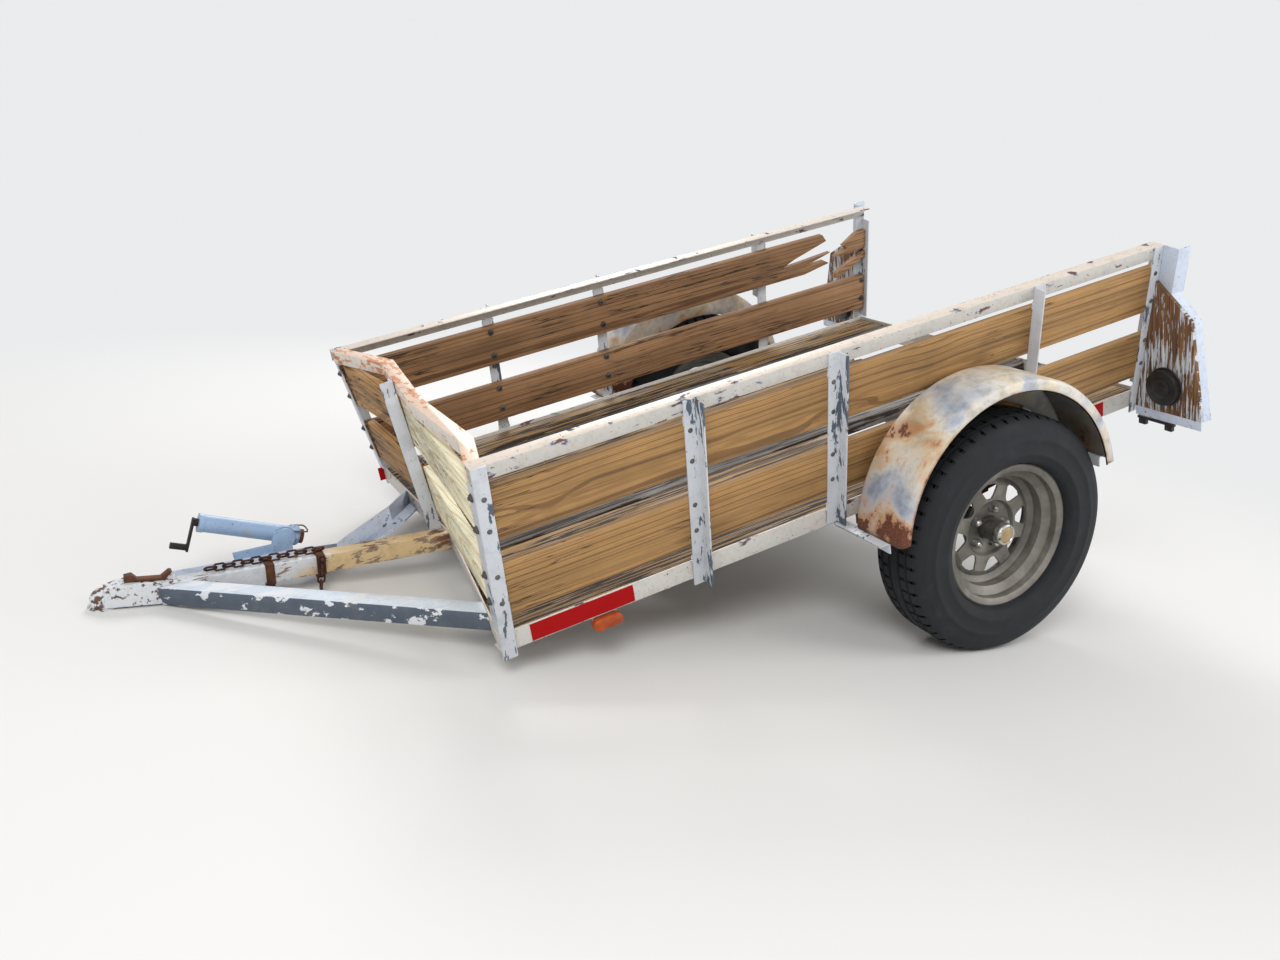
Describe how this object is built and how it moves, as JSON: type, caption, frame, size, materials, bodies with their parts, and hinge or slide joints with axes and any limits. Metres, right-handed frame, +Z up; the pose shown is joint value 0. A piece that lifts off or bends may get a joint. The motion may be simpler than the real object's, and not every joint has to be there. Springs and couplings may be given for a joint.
{
  "type": "small utility trailer with slatted sides",
  "caption": "Small single-axle utility trailer with an open timber deck, slatted sides racked to the left, round fenders, a bent tongue with ball coupler, safety chain and a side-swivel jack.",
  "frame": {"origin": "on the ground under the middle of the parked trailer", "axes": "+X rearward along the trailer, +Y to the trailer's right, +Z up; the trailer rests nose-down on its coupler and both tyres"},
  "size_m": [2.9608, 1.872, 1.1761],
  "materials": {
    "white_steel": "white paint peeling to rust and slate blue",
    "side_wood": "bare weathered pine",
    "deck_wood": "grey weathered and splintered",
    "plywood": "peeling paint over plywood",
    "tyre_rubber": "dusty black",
    "wheel_silver": "dull silver paint",
    "hub_steel": "dark worn steel",
    "lamp_black": "black lamp housing",
    "amber_lens": "amber lens",
    "rusty_steel": "rusted bare steel",
    "black_steel": "worn black paint"
  },
  "bodies": {
    "chassis": {"axle": "rusty_steel", "axle_clamps": "rusty_steel", "broken_planks": "deck_wood", "coupler": "white_steel", "coupler_latch": "white_steel", "crossmembers": "white_steel", "deck_planks": "deck_wood", "front_bottom_rail": "white_steel", "front_middle_post": "white_steel", "front_top_rail": "white_steel", "jack_bracket": "white_steel", "left_bottom_rail": "white_steel", "left_brace": "white_steel", "left_fender": "white_steel", "left_front_lower_board": "side_wood", "left_front_upper_board": "side_wood", "left_lower_board": "side_wood", "left_outriggers": "white_steel", "left_spring": "rusty_steel", "left_tail_lamp": "lamp_black", "left_top_rail": "white_steel", "left_upper_board": "side_wood", "left_uprights": "white_steel", "left_wing_frame": "white_steel", "left_wing_panel": "plywood", "marker_tabs": "white_steel", "rear_rail": "white_steel", "right_board_stub": "side_wood", "right_bottom_rail": "white_steel", "right_brace": "white_steel", "right_fender": "white_steel", "right_front_lower_board": "side_wood", "right_front_upper_board": "side_wood", "right_lower_board": "side_wood", "right_outriggers": "white_steel", "right_spring": "rusty_steel", "right_tail_lamp": "lamp_black", "right_top_rail": "white_steel", "right_upper_board": "side_wood", "right_uprights": "white_steel", "right_wing_frame": "white_steel", "right_wing_panel": "plywood", "safety_chain": "rusty_steel", "side_markers": "amber_lens", "spring_hangers": "rusty_steel", "tongue_clamps": "rusty_steel", "tongue_tube": "white_steel"},
    "left_wheel": {"left_hub": "hub_steel", "left_rim": "wheel_silver", "left_tyre": "tyre_rubber"},
    "right_wheel": {"right_hub": "hub_steel", "right_rim": "wheel_silver", "right_tyre": "tyre_rubber"},
    "jack": {"jack_crank": "black_steel", "jack_tube": "white_steel"},
    "jack_ram": {"jack_leg": "rusty_steel"}
  },
  "joints": [
    {"name": "left_wheel_spin", "type": "hinge", "parent": "chassis", "child": "left_wheel", "pos_m": [0.7821, -0.816, 0.344], "axis": [0, 1, 0], "continuous": true},
    {"name": "right_wheel_spin", "type": "hinge", "parent": "chassis", "child": "right_wheel", "pos_m": [0.7821, 0.816, 0.344], "axis": [0, 1, 0], "continuous": true},
    {"name": "jack_swivel", "type": "hinge", "parent": "chassis", "child": "jack", "pos_m": [-0.9732, 0.0926, 0.12568], "axis": [0, 1, 0], "range_deg": [0, 62]},
    {"name": "jack_leg_slide", "type": "slide", "parent": "jack", "child": "jack_ram", "axis": [0.9785, 0, -0.2062], "range_m": [0, 0.25]}
  ]
}
